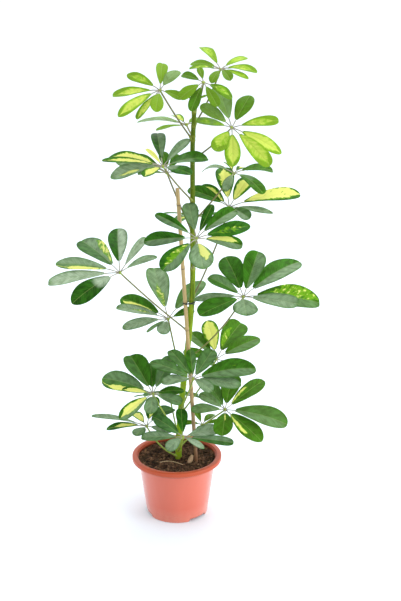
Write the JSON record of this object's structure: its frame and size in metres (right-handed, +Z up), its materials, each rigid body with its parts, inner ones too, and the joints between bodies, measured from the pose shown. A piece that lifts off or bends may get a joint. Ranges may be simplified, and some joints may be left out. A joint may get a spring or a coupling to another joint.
{
  "type": "potted umbrella plant",
  "caption": "Variegated umbrella plant on a tall stem, with palm-like leaves of long leaflets, tied to a bamboo cane in a round terracotta-coloured plastic nursery pot of soil.",
  "frame": {"origin": "centre of the pot's flat underside, on the surface it stands on", "axes": "+Z up along the pot's axis; seen from the front, looking along +Y, +X is to the right"},
  "size_m": [0.4915, 0.3247, 0.8766],
  "materials": {
    "pot_plastic": "satin moulded polypropylene, terracotta orange",
    "peat_soil": "rough dark brown fibrous peat compost",
    "green_stem": "satin green stem with ring scars",
    "bamboo": "dry bamboo cane with raised knots",
    "tie_wire": "black plastic-coated tie wire",
    "grown_leaf": "glossy dark green leaflets splashed with cream yellow",
    "young_leaf": "satin lime green leaflets with darker margins"
  },
  "bodies": {
    "root": {"pot": "pot_plastic", "soil": "peat_soil", "stem": "green_stem", "cane": "bamboo", "tie": "tie_wire", "leaf_shoot_tip": "young_leaf", "leaf_crown_right": "young_leaf", "leaf_crown_mid": "young_leaf", "leaf_crown_left": "young_leaf", "leaf_crown_back": "grown_leaf", "leaf_high_right": "young_leaf", "leaf_high_left": "grown_leaf", "leaf_high_left_back": "grown_leaf", "leaf_mid_right": "grown_leaf", "leaf_mid_right_back": "grown_leaf", "leaf_mid_front": "grown_leaf", "leaf_mid_left": "grown_leaf", "leaf_mid_left_back": "grown_leaf", "leaf_mid_far_right": "grown_leaf", "leaf_low_right_back": "grown_leaf", "leaf_low_front": "grown_leaf", "leaf_low_left": "grown_leaf", "leaf_base_left": "grown_leaf", "leaf_base_front": "grown_leaf", "leaf_base_right": "grown_leaf", "leaf_base_small": "grown_leaf", "leaf_back_mid": "grown_leaf", "leaf_back_low": "grown_leaf", "leaf_back_base": "grown_leaf"}
  },
  "joints": []
}
